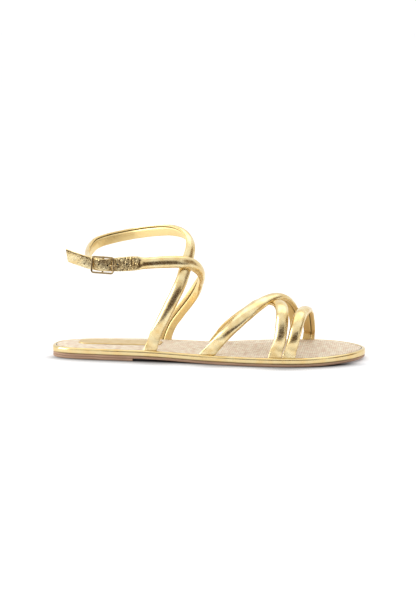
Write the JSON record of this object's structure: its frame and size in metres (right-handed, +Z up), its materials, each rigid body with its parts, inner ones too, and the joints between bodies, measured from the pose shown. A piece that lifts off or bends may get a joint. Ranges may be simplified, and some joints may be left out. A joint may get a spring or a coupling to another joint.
{
  "type": "gladiator sandal",
  "caption": "Flat open sandal for the right foot, padded straps crossing over ankle and forefoot, buckle at the outer side, thin sole.",
  "frame": {"origin": "on the floor, near the middle of the flat face that the heel stands on", "axes": "+X from heel to toe, +Y to the inner (medial) side of the right foot, +Z up from the floor"},
  "size_m": [0.25, 0.09, 0.1038],
  "materials": {
    "sole_leather": "smooth tan sole leather, satin",
    "wrap_leather": "glossy gold foil-coated leather",
    "woven_jute": "matt woven jute with a pale pinkish cast",
    "label_leather": "bare gold foil-coated leather patch",
    "strap_leather": "padded glossy gold foil-coated leather",
    "buckle_metal": "polished pale gold plating"
  },
  "bodies": {
    "root": {"heel_lift": "sole_leather", "outsole": "sole_leather", "footbed": "wrap_leather", "insole_sock": "woven_jute", "heel_label": "label_leather", "ankle_straps": "strap_leather", "forefoot_straps": "strap_leather", "toe_strap": "strap_leather", "buckle_frame": "buckle_metal", "buckle_prong": "buckle_metal"}
  },
  "joints": []
}
